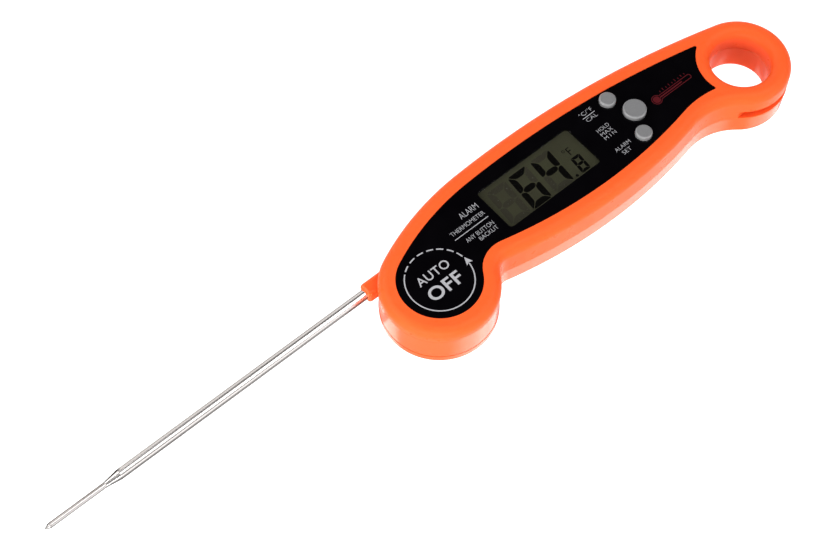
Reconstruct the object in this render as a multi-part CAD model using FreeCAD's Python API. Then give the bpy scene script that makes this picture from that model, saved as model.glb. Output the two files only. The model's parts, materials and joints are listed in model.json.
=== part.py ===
"""Folding probe thermometer: a body with a display, and a steel probe that folds beside it.

Millimetres. The origin is on the fold pivot's axis, in the plane of the back face.
+X points from the pivot to the hanging ring, +Z points out of the display.
"""
import FreeCAD, Part
import math
import os

V = FreeCAD.Vector

# ---------------------------------------------------------------- driving dimensions
# Heights above the back face
BODY_TOP = 17.2        # crown of the orange rim
FACE_TOP = 16.9        # outer surface of the black face panel
PANEL_T = 0.8          # thickness of the face panel
FRONT_WALL_T = 1.5     # front shell's wall under the panel
SPLIT_Z = 7.0          # parting plane between the shells
FLOOR_T = 2.0          # back shell's floor
WALL_T = 2.0           # side walls

# Outline seen from the front: arcs that meet tangentially
HUB_R = 18.2                       # hub disc about the pivot
RIM_FAR = 5.3                      # orange rim beside the face panel, far side and hub
RIM_NEAR = 4.85                    # the same on the probe's side
RING_C = (124.6, -0.9)             # hanging ring
RING_R = 16.0
RING_HOLE_R = 9.7
SHOULDER_R = 94.3                  # far side next to the hub
SHOULDER_DIR = -65.05              # bearing of that arc's centre from the pivot, degrees
SPINE_R = 325.3                    # long far side
BELLY_C = (63.6, 162.2)            # the probe's side
PANEL_BELLY_R = 169.1
HUB_NOTCH_R = 5.3                  # concave corner between hub and belly
RING_NOTCH_R = 20.0                # concave corner between belly and ring
PANEL_RING_R = 14.5                # the panel's hollow end, about the ring
PANEL_HUB_NOTCH_R = 10.2
PANEL_RING_NOTCH_R = 32.0

# Edges
TOP_FILLET = 3.0
HOLE_FILLET = 3.0
BOTTOM_FILLET = 0.8
BACK_INSET = 0.1                   # how far the back shell's foot tapers in
FRONT_DRAFT = 0.15                 # how far the front shell spreads from its crown down
PANEL_CORNER_R = 0.5
PANEL_CORNER_X = 110.0              # the panel has sharp corners only beyond this
LIP = 0.1                          # the back shell sits in by this at the parting line

# Probe and its drum
PROBE_Y = 13.8                     # the probe's axis beside the pivot
PROBE_Z = 9.1
PROBE_R = 1.6
PROBE_BORE_R = 1.3
TIP_R = 0.9
TIP_BORE_R = 0.6
PROBE_ROOT_X = -10.2
SHOULDER_X = -105.9                # where the tube starts to neck down
NECK_X = -110.7
POINT_X = -129.4
TIP_END_X = -131.0
BOSS_END_X = -17.4
BOSS_HALF = 2.5                    # half width and half height of the boss
BOSS_ROUND = 1.2
DRUM_R = 18.05
DRUM_Z0 = 2.75
DRUM_Z1 = 12.6
GAP = 0.3                          # air round the drum
AXIAL_GAP = 0.07                   # air above and below it
BACK_DISC_T = DRUM_Z0 - AXIAL_GAP
FRONT_DISC_Z0 = DRUM_Z1 + AXIAL_GAP
PIVOT_POST_R = 4.5
PIVOT_FIT = 0.05
GROOVE_Y = -12.4                   # floor of the tip groove in the ring
LINER_R = 10.9                     # the back shell's collar round the hanging hole
LINER_Z1 = 9.7
GROOVE_HALF = 1.5

# Display, buttons and their stack
LCD_X = (27.7, 64.5)
LCD_Y = (-0.35, 15.4)
LCD_CORNER_R = 1.2
LARGE_BUTTON = ("button_hold", 85.0, 6.5, 3.7)
UPPER_BUTTON = ("button_unit", 81.1, 14.6, 2.65)
LOWER_BUTTON = ("button_alarm", 81.2, -1.5, 2.65)
BUTTONS = (LARGE_BUTTON, UPPER_BUTTON, LOWER_BUTTON)
BUTTON_TOP = 18.4
BUTTON_CHAMFER = 0.5
BUTTON_GAP = 0.2
BUTTON_TRAVEL = 0.7
BOARD_Z = (9.0, 10.2)
DOME_H = 0.7

# Battery
CELL_C = (84.0, 5.5)
CELL_R = 10.0
CELL_Z = (3.3, 6.5)
COVER_R = 11.8
COVER_HOLE_R = 12.05
COVER_T = 1.7
LUG_R = 13.1
LUG_Z = (2.15, 3.0)
LUG_COUNT = 3
LUG_ANGLE = 26.0
COVER_TURN = 40.0

PANEL_Z0 = FACE_TOP - PANEL_T
INNER_TOP = PANEL_Z0 - FRONT_WALL_T

SCREWS = ((24.2, 20.0), (70.5, -6.4), (104.6, 12.6), (103.8, -0.8))
BOARD_SCREWS = ((68.8, 20.2), (95.0, -4.2))
MAGNETS = ((48.0, 7.5), (64.6, 7.5))


# ---------------------------------------------------------------- small helpers
def cylinder(x, y, r, z0, z1):
    return Part.makeCylinder(r, z1 - z0, V(x, y, z0))


def tube(x, y, r_out, r_in, z0, z1):
    return cylinder(x, y, r_out, z0, z1).cut(cylinder(x, y, r_in, z0 - 1, z1 + 1))


def block(x0, x1, y0, y1, z0, z1):
    return Part.makeBox(x1 - x0, y1 - y0, z1 - z0, V(x0, y0, z0))


def rounded_block(x_range, y_range, z0, z1, corner):
    """A box with its four upright edges rounded."""
    shape = block(x_range[0], x_range[1], y_range[0], y_range[1], z0, z1)
    upright = [e for e in shape.Edges if abs(e.tangentAt(e.FirstParameter).z) > 0.9]
    return shape.makeFillet(corner, upright)


def prism(wire, z0, z1):
    face = Part.Face(wire)
    face.translate(V(0, 0, z0))
    return face.extrude(V(0, 0, z1 - z0))


def rod_x(x0, x1, y, z, r):
    """A cylinder along X."""
    return Part.makeCylinder(r, abs(x1 - x0), V(min(x0, x1), y, z), V(1, 0, 0))


def along(centre, target, distance):
    """The point at a distance from centre towards target."""
    dx = target[0] - centre[0]
    dy = target[1] - centre[1]
    span = math.hypot(dx, dy)
    return (centre[0] + dx / span * distance, centre[1] + dy / span * distance)


def polar(centre, radius, degrees):
    a = math.radians(degrees)
    return (centre[0] + radius * math.cos(a), centre[1] + radius * math.sin(a))


def two_circles(c1, r1, c2, r2, side):
    """Where two circles cross, on the left (+1) or right (-1) of the line c1 to c2."""
    dx = c2[0] - c1[0]
    dy = c2[1] - c1[1]
    span = math.hypot(dx, dy)
    a = (r1 * r1 - r2 * r2 + span * span) / (2 * span)
    h = side * math.sqrt(r1 * r1 - a * a)
    return (c1[0] + (a * dx - h * dy) / span, c1[1] + (a * dy + h * dx) / span)


def edges_at(shape, z, tol=0.01):
    """The edges that lie in the plane at height z."""
    return [e for e in shape.Edges if abs(e.BoundBox.ZMin - z) < tol and abs(e.BoundBox.ZMax - z) < tol]


# ---------------------------------------------------------------- the outline
PIVOT = (0.0, 0.0)
SHOULDER_C = polar(PIVOT, SHOULDER_R - HUB_R, SHOULDER_DIR)
SPINE_C = two_circles(SHOULDER_C, SPINE_R - SHOULDER_R, RING_C, SPINE_R - RING_R, -1)
BELLY_R = PANEL_BELLY_R + RIM_NEAR
HUB_NOTCH_C = two_circles(PIVOT, HUB_R + HUB_NOTCH_R, BELLY_C, BELLY_R + HUB_NOTCH_R, -1)
RING_NOTCH_C = two_circles(RING_C, RING_R + RING_NOTCH_R, BELLY_C, BELLY_R + RING_NOTCH_R, 1)


def tangent_point(arc_a, arc_b):
    """Where two tangent arcs (centre, radius, convex) meet."""
    (ca, ra, convex_a), (cb, rb, convex_b) = arc_a, arc_b
    if convex_a and convex_b:
        if ra > rb:
            return along(cb, ca, -rb)
        return along(ca, cb, -ra)
    if convex_a:
        return along(ca, cb, ra)
    return along(cb, ca, rb)


def arc_edge(centre, radius, start, end, convex):
    """An arc from start to end, counter-clockwise about its centre if convex."""
    a0 = math.atan2(start[1] - centre[1], start[0] - centre[0])
    a1 = math.atan2(end[1] - centre[1], end[0] - centre[0])
    if convex and a1 < a0:
        a1 += 2 * math.pi
    if not convex and a1 > a0:
        a1 -= 2 * math.pi
    middle = polar(centre, radius, math.degrees((a0 + a1) / 2))
    return Part.Arc(V(*start, 0), V(*middle, 0), V(*end, 0)).toShape()


def tangent_chain(arcs):
    """A closed wire of tangent arcs, counter-clockwise."""
    count = len(arcs)
    joints = [tangent_point(arcs[i - 1], arcs[i]) for i in range(count)]
    edges = [arc_edge(arc[0], arc[1], joints[i], joints[(i + 1) % count], arc[2])
             for i, arc in enumerate(arcs)]
    return Part.Wire(edges)


def body_outline(grow):
    """The whole body's outline, grown outwards by grow."""
    return tangent_chain((
        (PIVOT, HUB_R + grow, True),
        (HUB_NOTCH_C, HUB_NOTCH_R - grow, False),
        (BELLY_C, BELLY_R + grow, True),
        (RING_NOTCH_C, RING_NOTCH_R - grow, False),
        (RING_C, RING_R + grow, True),
        (SPINE_C, SPINE_R + grow, True),
        (SHOULDER_C, SHOULDER_R + grow, True),
    ))


def panel_outline(grow):
    """The face panel: the same far side, a softer near side and a hollow end at the ring."""
    hub = (PIVOT, HUB_R - RIM_FAR + grow, True)
    shoulder = (SHOULDER_C, SHOULDER_R - RIM_FAR + grow, True)
    spine = (SPINE_C, SPINE_R - RIM_FAR + grow, True)
    belly = (BELLY_C, PANEL_BELLY_R + grow, True)
    notch_c = two_circles(PIVOT, HUB_R - RIM_FAR + PANEL_HUB_NOTCH_R,
                          BELLY_C, PANEL_BELLY_R + PANEL_HUB_NOTCH_R, -1)
    hub_notch = (notch_c, PANEL_HUB_NOTCH_R - grow, False)
    sweep_c = polar(BELLY_C, PANEL_BELLY_R + PANEL_RING_NOTCH_R, PANEL_SWEEP_DIR)
    ring_notch = (sweep_c, PANEL_RING_NOTCH_R - grow, False)
    hollow_r = PANEL_RING_R - grow
    low = two_circles(RING_C, hollow_r, sweep_c, PANEL_RING_NOTCH_R - grow, -1)
    high = two_circles(RING_C, hollow_r, SPINE_C, SPINE_R - RIM_FAR + grow, -1)
    chain = (hub, hub_notch, belly, ring_notch)
    points = [tangent_point(shoulder, hub)]
    points += [tangent_point(chain[i], chain[i + 1]) for i in range(3)]
    points += [low, high, tangent_point(spine, shoulder)]
    arcs = (hub, hub_notch, belly, ring_notch, (RING_C, hollow_r, False), spine, shoulder)
    edges = [arc_edge(arc[0], arc[1], points[i], points[(i + 1) % 7], arc[2])
             for i, arc in enumerate(arcs)]
    return Part.Wire(edges)


PANEL_SWEEP_DIR = -78.77           # bearing of the panel's near hollow from the belly's centre


def panel_solid(grow, z0, z1):
    """The face panel's outline as a solid, with its two ring corners rounded."""
    shape = prism(panel_outline(grow), z0, z1)
    corners = [e for e in shape.Edges if e.BoundBox.ZLength > 0.1 and e.BoundBox.XLength < 0.01
               and e.BoundBox.XMin > PANEL_CORNER_X]
    return shape.makeFillet(PANEL_CORNER_R, corners)


def cavity(inset, z0, z1):
    """The room for the electronics: the body less its walls, the drum and the ring."""
    room = prism(body_outline(-inset), z0, z1)
    room = room.cut(cylinder(0, 0, DRUM_R + GAP + inset, z0 - 1, z1 + 1))
    room = room.cut(cylinder(RING_C[0], RING_C[1], RING_R + inset - 0.4, z0 - 1, z1 + 1))
    return room.cut(block(-40, 18.5, -40, 40, z0 - 1, z1 + 1))


def export(name, shape):
    """Write one node, as a solid or a group of solids."""
    solids = shape.Solids
    result = solids[0] if len(solids) == 1 else Part.Compound(solids)
    result.exportStep("parts/" + name + ".step")
    NODES.append((name, len(solids), result.Volume, result.isValid()))


NODES = []


# ---------------------------------------------------------------- shells
def drum_clearance():
    """The space that the drum and its boss need, cut out of both shells.

    It also takes off the thin edges that would be left where the walls run out beside it.
    """
    room = cylinder(0, 0, DRUM_R + GAP + 0.05, BACK_DISC_T, FRONT_DISC_Z0)
    far_side = block(-30, 1.5, 0, 30, BACK_DISC_T, FRONT_DISC_Z0)
    near_side = block(-30, HUB_NOTCH_C[0], -30, -7.5, BACK_DISC_T, FRONT_DISC_Z0)
    hub_side = block(-30, 0, -30, 30, BACK_DISC_T, FRONT_DISC_Z0)
    return room.fuse([far_side, near_side, hub_side])


def tip_groove():
    """The slot round the ring's near side that holds the folded probe's tip."""
    slot = block(100, 150, -30, GROOVE_Y, PROBE_Z - GROOVE_HALF, PROBE_Z + GROOVE_HALF)
    inner = [e for e in slot.Edges if e.BoundBox.XLength > 10
             and abs(e.BoundBox.YMin - GROOVE_Y) < 0.01 and e.BoundBox.ZMin > PROBE_Z]
    return slot.makeFillet(1.0, inner)


def screw_posts(places, radius, z0, z1):
    return [cylinder(x, y, radius, z0, z1) for x, y in places]


def button_holes(extra, z0, z1):
    return [cylinder(x, y, r + extra, z0, z1) for _, x, y, r in BUTTONS]


def front_shell():
    waist = body_outline(FRONT_DRAFT)
    waist.translate(V(0, 0, SPLIT_Z))
    crown = body_outline(0)
    crown.translate(V(0, 0, BODY_TOP))
    shape = Part.makeLoft([waist, crown], True, True)
    shape = shape.makeFillet(TOP_FILLET, edges_at(shape, BODY_TOP))
    hole = cylinder(RING_C[0], RING_C[1], RING_HOLE_R, SPLIT_Z - 1, BODY_TOP + 1)
    shape = shape.cut(hole)
    rim = [e for e in edges_at(shape, BODY_TOP) if abs(e.BoundBox.XLength - 2 * RING_HOLE_R) < 0.1]
    shape = shape.makeFillet(HOLE_FILLET, rim)
    shape = shape.cut(panel_solid(0.08, PANEL_Z0, BODY_TOP + 1))
    shape = shape.cut(cavity(WALL_T, SPLIT_Z - 1, INNER_TOP))
    posts = screw_posts(SCREWS, 2.4, SPLIT_Z, INNER_TOP + 0.3)
    posts += screw_posts(BOARD_SCREWS, 2.0, BOARD_Z[1], INNER_TOP + 0.3)
    posts += [tube(x, y, r + 2.0, r + 1.2, BOARD_Z[1] + 2.6, INNER_TOP + 0.3) for _, x, y, r in BUTTONS]
    shape = shape.fuse(posts)
    cuts = [drum_clearance(), tip_groove()]
    cuts += screw_posts(SCREWS, 1.15, SPLIT_Z - 1, INNER_TOP - 0.6)
    cuts += screw_posts(BOARD_SCREWS, 0.85, SPLIT_Z, INNER_TOP - 0.6)
    cuts += button_holes(BUTTON_GAP, INNER_TOP - 1, FACE_TOP)
    cuts += button_holes(1.2, BOARD_Z[1] + 2.5, INNER_TOP)
    cuts.append(rounded_block((LCD_X[0] + 0.5, LCD_X[1] - 0.5), (LCD_Y[0] + 0.5, LCD_Y[1] - 0.5),
                              INNER_TOP - 1, PANEL_Z0 + 0.1, 0.7))
    cuts.append(cylinder(0, 0, 1.7, FRONT_DISC_Z0 - 1, PANEL_Z0 + 1))
    cuts.append(cylinder(0, 0, 3.2, PIVOT_HEAD_Z0 - 0.05, PANEL_Z0 + 1))
    cuts.append(block(6.6, 24.0, -1.2, 1.2, FRONT_DISC_Z0 - 1, INNER_TOP))
    cuts.append(seal_groove(FRONT_DISC_Z0 + SEAL_R - 0.05))
    cuts.append(gasket_ring(0.35, 0.95, SPLIT_Z - 1, SPLIT_Z + 0.65))
    cuts.append(cylinder(RING_C[0], RING_C[1], LINER_R + 0.05, SPLIT_Z - 1, LINER_Z1))
    return shape.cut(cuts)


def tapered_foot():
    """The back shell's outside: it tapers in from the parting line to a smaller foot."""
    foot = body_outline(-BACK_INSET)
    waist = body_outline(FRONT_DRAFT - LIP)
    waist.translate(V(0, 0, SPLIT_Z))
    shape = Part.makeLoft([foot, waist], True, True)
    return shape.makeFillet(BOTTOM_FILLET, edges_at(shape, 0.0))


def back_shell():
    shape = tapered_foot()
    hole = cylinder(RING_C[0], RING_C[1], RING_HOLE_R, -1, SPLIT_Z + 1)
    shape = shape.cut(hole)
    rim = [e for e in edges_at(shape, 0.0) if abs(e.BoundBox.XLength - 2 * RING_HOLE_R) < 0.1]
    shape = shape.makeFillet(1.5, rim)
    shape = shape.cut(cavity(WALL_T + 0.4, FLOOR_T, SPLIT_Z + 1))
    posts = screw_posts(SCREWS, 3.2, FLOOR_T - 0.5, SPLIT_Z)
    posts.append(tube(CELL_C[0], CELL_C[1], 14.5, 13.5, FLOOR_T - 0.5, SPLIT_Z - 0.4))
    posts += [tube(x, y, 6.2, 5.05, FLOOR_T - 0.5, FLOOR_T + 1.6) for x, y in MAGNETS]
    shape = shape.fuse(posts)
    cuts = [drum_clearance(), tip_groove()]
    cuts += screw_posts(SCREWS, 1.35, -1, SPLIT_Z + 1)
    cuts += screw_posts(SCREWS, 2.3, -1, SCREW_HEAD_Z1)
    cuts.append(cylinder(CELL_C[0], CELL_C[1], COVER_HOLE_R, -1, FLOOR_T + 1))
    cuts += [lug_sector(CELL_C, k * 360.0 / LUG_COUNT - COVER_TURN, LUG_ANGLE + 5, LUG_R + 0.2, -1, FLOOR_T + 1)
             for k in range(LUG_COUNT)]
    cuts += [cylinder(x, y, 5.05, FLOOR_T - 1.0, FLOOR_T + 2) for x, y in MAGNETS]
    cuts.append(seal_groove(BACK_DISC_T - SEAL_R + 0.05))
    cuts.append(gasket_ring(0.35, 0.95, SPLIT_Z - 0.65, SPLIT_Z + 1))
    cuts.append(cylinder(0, 0, 8.8, BACK_DISC_T - 0.2, BACK_DISC_T + 1))
    liner = tube(RING_C[0], RING_C[1], LINER_R, RING_HOLE_R, SPLIT_Z - 0.5, LINER_Z1 - 0.1)
    liner = liner.makeChamfer(0.12, [e for e in edges_at(liner, LINER_Z1 - 0.1) if e.BoundBox.XLength < 20])
    shape = shape.cut(cuts).fuse(liner)
    post = cylinder(0, 0, PIVOT_POST_R, BACK_DISC_T - 0.5, FRONT_DISC_Z0)
    return shape.fuse(post).cut(cylinder(0, 0, PIVOT_SHANK_R + 0.05, PIVOT_TIP_Z - 0.5, FRONT_DISC_Z0 + 1))


def lug_sector(centre, bearing, width, radius, z0, z1):
    """A pie slice about centre, width degrees wide, from the middle out to radius."""
    start = polar(centre, radius, bearing - width / 2)
    end = polar(centre, radius, bearing + width / 2)
    tip = V(*centre, 0)
    edges = [Part.makeLine(tip, V(*start, 0)), arc_edge(centre, radius, start, end, True),
             Part.makeLine(V(*end, 0), tip)]
    return prism(Part.Wire(edges), z0, z1)


SEAL_RING_R = 16.4
SEAL_R = 0.45


def seal_groove(z):
    """Room for a pivot seal in a disc's face, a little larger than the seal."""
    return Part.makeTorus(SEAL_RING_R, SEAL_R + 0.05, V(0, 0, z))


def pivot_seal(z):
    return Part.makeTorus(SEAL_RING_R, SEAL_R, V(0, 0, z))


def gasket_ring(inner, outer, z0, z1):
    """A band that follows the electronics' room, from inner to outer beyond its edge."""
    return cavity(WALL_T + 0.4 - outer, z0, z1).cut(cavity(WALL_T + 0.4 - inner, z0 - 1, z1 + 1))


# ---------------------------------------------------------------- pivot and fasteners
PIVOT_SHANK_R = 1.5
PIVOT_HEAD_R = 3.0
PIVOT_HEAD_Z0 = 14.2
PIVOT_TIP_Z = 4.0
SCREW_HEAD_Z1 = 2.3
SCREW_HEAD_Z0 = 0.7


def cross_recess(x, y, z_open, z_end, half, width):
    """A cross-head driver's recess."""
    low, high = min(z_open, z_end), max(z_open, z_end)
    bars = block(x - half, x + half, y - width / 2, y + width / 2, low, high)
    return bars.fuse(block(x - width / 2, x + width / 2, y - half, y + half, low, high))


def pivot_screw():
    head = cylinder(0, 0, PIVOT_HEAD_R, PIVOT_HEAD_Z0, PIVOT_HEAD_Z0 + 1.6)
    head = head.makeFillet(0.5, edges_at(head, PIVOT_HEAD_Z0 + 1.6))
    shape = head.fuse(cylinder(0, 0, PIVOT_SHANK_R, PIVOT_TIP_Z, PIVOT_HEAD_Z0 + 0.2))
    return shape.cut(cross_recess(0, 0, PIVOT_HEAD_Z0 + 2, PIVOT_HEAD_Z0 + 0.7, 1.6, 0.6))


def housing_screw(x, y):
    head = cylinder(x, y, 2.1, SCREW_HEAD_Z0, SCREW_HEAD_Z1 - 0.05)
    head = head.makeChamfer(0.35, edges_at(head, SCREW_HEAD_Z0))
    shape = head.fuse(cylinder(x, y, 1.1, SCREW_HEAD_Z1 - 0.2, INNER_TOP - 1.0))
    return shape.cut(cross_recess(x, y, SCREW_HEAD_Z0 - 1, SCREW_HEAD_Z0 + 0.8, 1.2, 0.45))


def board_screw(x, y):
    head = cylinder(x, y, 1.7, BOARD_Z[0] - 1.15, BOARD_Z[0] - 0.02)
    shape = head.fuse(cylinder(x, y, 0.8, BOARD_Z[0] - 0.2, INNER_TOP - 1.0))
    return shape.cut(cross_recess(x, y, BOARD_Z[0] - 2, BOARD_Z[0] - 0.6, 0.95, 0.35))


def friction_washer():
    return tube(0, 0, 8.6, PIVOT_POST_R + 0.15, BACK_DISC_T - 0.18, DRUM_Z0 - 0.05)


# ---------------------------------------------------------------- face and display
def face_panel():
    shape = panel_solid(0.0, PANEL_Z0 + 0.02, FACE_TOP)
    window = rounded_block(LCD_X, LCD_Y, PANEL_Z0 - 1, FACE_TOP + 1, LCD_CORNER_R)
    return shape.cut([window] + button_holes(BUTTON_GAP, PANEL_Z0 - 1, FACE_TOP + 1))


def display_window():
    return rounded_block((LCD_X[0] + 0.04, LCD_X[1] - 0.04), (LCD_Y[0] + 0.04, LCD_Y[1] - 0.04),
                         PANEL_Z0 + 0.02, FACE_TOP, LCD_CORNER_R)


LCD_GLASS = ((26.4, 65.8), (-1.0, 16.4))
LCD_Z = (12.4, 14.4)


def lcd_glass():
    """Two bonded sheets; the lower one is longer on the connector's side."""
    x, y = LCD_GLASS
    middle = (LCD_Z[0] + LCD_Z[1]) / 2
    lower = block(x[0], x[1], y[0], y[1], LCD_Z[0], middle)
    return lower.fuse(block(x[0], x[1], y[0] + 1.6, y[1], middle, LCD_Z[1]))


def lcd_frame():
    x, y = LCD_GLASS
    outer = block(x[0] - 0.9, x[1] + 0.9, y[0] - 0.8, y[1] + 0.8, BOARD_Z[1] + 0.02, LCD_Z[1])
    well = block(x[0] - 0.1, x[1] + 0.1, y[0] - 0.1, y[1] + 0.1, LCD_Z[0] - 0.02, LCD_Z[1] + 1)
    hollow = block(x[0] + 0.6, x[1] - 0.6, y[0] + 2.4, y[1] - 0.6, BOARD_Z[1] - 1, LCD_Z[1])
    slot = block(x[0] + 1.0, x[1] - 1.0, y[0] + 0.3, y[0] + 1.9, BOARD_Z[1] - 1, LCD_Z[1])
    return outer.cut([well, hollow, slot])


def zebra_strip():
    x, y = LCD_GLASS
    return block(x[0] + 1.1, x[1] - 1.1, y[0] + 0.4, y[0] + 1.8, BOARD_Z[1] + 0.02, LCD_Z[0] - 0.02)


def backlight_diffuser():
    x, y = LCD_GLASS
    return block(x[0] + 0.75, x[1] - 0.75, y[0] + 2.55, y[1] - 0.75, LCD_Z[0] - 1.2, LCD_Z[0] - 0.1)


def backlight_leds():
    x, y = LCD_GLASS
    places = [x[0] + (x[1] - x[0]) * (k + 0.5) / 3 for k in range(3)]
    return Part.Compound([block(p - 0.8, p + 0.8, 7.4, 8.6, BOARD_Z[1] + 0.02, BOARD_Z[1] + 0.72)
                          for p in places])


# ---------------------------------------------------------------- board and electronics
def main_board():
    shape = cavity(WALL_T + 0.7, BOARD_Z[0], BOARD_Z[1])
    shape = shape.cut(block(107.0, 160, -40, 40, BOARD_Z[0] - 1, BOARD_Z[1] + 1))
    cuts = screw_posts(SCREWS, 2.9, BOARD_Z[0] - 1, BOARD_Z[1] + 1)
    cuts += screw_posts(BOARD_SCREWS, 0.95, BOARD_Z[0] - 1, BOARD_Z[1] + 1)
    return shape.cut(cuts)


def under_board(x, y, length, width, height):
    """A chip on the board's back."""
    z1 = BOARD_Z[0] - 0.02
    return block(x - length / 2, x + length / 2, y - width / 2, y + width / 2, z1 - height, z1)


def controller_chip():
    return under_board(56.0, 8.0, 9.0, 9.0, 1.4)


def clock_crystal():
    z = BOARD_Z[0] - 1.05
    return rod_x(44.0, 50.0, 15.5, z, 1.0)


def chip_components():
    """Resistors and capacitors in a row beside the controller, and two larger ones."""
    row = [under_board(46.0 + 1.9 * k, 1.0, 1.0, 2.0, 0.7) for k in range(9)]
    larger = [under_board(38.0, 2.5 + 4.5 * k, 3.2, 1.6, 1.4) for k in range(2)]
    return Part.Compound(row + larger)


def reed_switch():
    """A glass reed in its moulded body, across the board's end next to the pivot."""
    shape = under_board(24.3, 5.5, 2.2, 11.0, 2.0)
    return shape.makeFillet(0.4, [e for e in shape.Edges if e.BoundBox.YLength > 10])


def buzzer():
    """A piezo disc in a can with a sound hole, stood on the back shell's floor."""
    can = cylinder(104.2, 5.85, 3.2, FLOOR_T + 0.02, FLOOR_T + 3.2)
    return can.cut(cylinder(104.2, 5.85, 0.7, FLOOR_T + 2.2, FLOOR_T + 4))


def dome_switches():
    domes = []
    for _, x, y, _ in BUTTONS:
        dome = cylinder(x, y, 2.2, BOARD_Z[1] + 0.02, BOARD_Z[1] + DOME_H)
        domes.append(dome.makeFillet(0.45, edges_at(dome, BOARD_Z[1] + DOME_H)))
    return Part.Compound(domes)


STEM_R = 1.3
STEM_Z0 = BOARD_Z[1] + DOME_H + BUTTON_TRAVEL + 0.08
FLANGE_T = 0.7


def button(x, y, r):
    """A cap with a chamfered crown, a flange that keeps it in, and a stem over its dome."""
    cap = cylinder(x, y, r, INNER_TOP - 0.5, BUTTON_TOP)
    cap = cap.makeChamfer(BUTTON_CHAMFER, edges_at(cap, BUTTON_TOP))
    flange = cylinder(x, y, r + 0.8, INNER_TOP - 0.05 - FLANGE_T, INNER_TOP - 0.05)
    stem = cylinder(x, y, STEM_R, STEM_Z0, INNER_TOP - 0.3)
    return cap.fuse([flange, stem]).removeSplitter()


def keypad_membrane():
    """A thin silicone sheet over the domes, with a clearance hole for each stem."""
    sheet = rounded_block((76.6, 89.6), (-5.4, 18.4), BOARD_Z[1] + DOME_H + 0.1, BOARD_Z[1] + DOME_H + 0.5, 1.5)
    return sheet.cut([cylinder(x, y, STEM_R + 0.3, 0, BODY_TOP) for _, x, y, _ in BUTTONS])


# ---------------------------------------------------------------- battery
def coin_cell():
    can = cylinder(CELL_C[0], CELL_C[1], CELL_R, CELL_Z[0], CELL_Z[1] - 0.35)
    can = can.makeFillet(0.4, edges_at(can, CELL_Z[0]))
    cap = cylinder(CELL_C[0], CELL_C[1], CELL_R - 1.2, CELL_Z[1] - 0.4, CELL_Z[1])
    return can.fuse(cap)


def battery_holder():
    """A moulded ring under the board that locates the cell."""
    ring = tube(CELL_C[0], CELL_C[1], CELL_R + 1.5, CELL_R + 0.35, CELL_Z[0] + 0.2, BOARD_Z[0] - 0.02)
    notch = block(CELL_C[0] + CELL_R - 1, CELL_C[0] + CELL_R + 3, CELL_C[1] - 2.2, CELL_C[1] + 2.2,
                  CELL_Z[0], BOARD_Z[0])
    return ring.cut(notch)


def battery_contact_negative():
    """A bent leaf under the board that presses on the cell's cap."""
    x, y = CELL_C
    foot = block(x - 7.0, x - 3.0, y - 1.6, y + 1.6, BOARD_Z[0] - 0.32, BOARD_Z[0] - 0.02)
    points = [(x - 3.2, BOARD_Z[0] - 0.32), (x - 3.2, BOARD_Z[0] - 0.02), (x - 2.6, BOARD_Z[0] - 0.02),
              (x + 3.2, CELL_Z[1] + 0.33), (x + 5.2, CELL_Z[1] + 1.0), (x + 5.2, CELL_Z[1] + 0.7),
              (x + 3.2, CELL_Z[1] + 0.03), (x - 2.8, BOARD_Z[0] - 0.32)]
    wire = Part.makePolygon([V(px, y - 1.2, pz) for px, pz in points + points[:1]])
    return foot.fuse(Part.Face(wire).extrude(V(0, 2.4, 0)))


def battery_contact_positive():
    """An upright tab against the cell's edge, soldered to the board."""
    x, y = CELL_C
    edge = x + CELL_R + 0.06
    tab = block(edge, edge + 0.25, y - 1.8, y + 1.8, CELL_Z[0] + 0.6, BOARD_Z[0] - 0.02)
    foot = block(edge, edge + 2.2, y - 1.8, y + 1.8, BOARD_Z[0] - 0.27, BOARD_Z[0] - 0.02)
    return tab.fuse(foot)


def battery_cover():
    x, y = CELL_C
    disc = cylinder(x, y, COVER_R, 0.1, COVER_T)
    disc = disc.makeChamfer(0.2, edges_at(disc, 0.1))
    neck = cylinder(x, y, COVER_R - 0.7, COVER_T - 0.3, CELL_Z[0] - 0.05)
    lugs = [lug_sector(CELL_C, k * 360.0 / LUG_COUNT, LUG_ANGLE, LUG_R, LUG_Z[0], LUG_Z[1])
            for k in range(LUG_COUNT)]
    shape = disc.fuse([neck] + lugs)
    slot = rounded_block((x - 7.0, x + 7.0), (y - 0.9, y + 0.9), -1, 1.0, 0.85)
    groove = Part.makeTorus(COVER_R - 0.3, 0.5, V(x, y, 1.0))
    well = cylinder(x, y, CELL_R - 1.5, CELL_Z[0] - 0.9, CELL_Z[0] + 1)
    return shape.cut([slot, groove, well])


def battery_cover_seal():
    return Part.makeTorus(COVER_R - 0.3, 0.45, V(CELL_C[0], CELL_C[1], 1.0))


def back_magnets():
    return Part.Compound([cylinder(x, y, 5.0, FLOOR_T - 0.98, FLOOR_T + 1.0) for x, y in MAGNETS])


# ---------------------------------------------------------------- probe and its drum
LEAD_R = 0.45
LEAD_POCKET = (6.2, 9.4)
LEAD_POCKET_Z0 = 7.2
LEAD_TURN_R = 1.8
HUB_MAGNET_X = -12.6
HUB_MAGNET_R = 2.8
LOOP_R = (LEAD_POCKET[0] + LEAD_POCKET[1]) / 2


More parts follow.
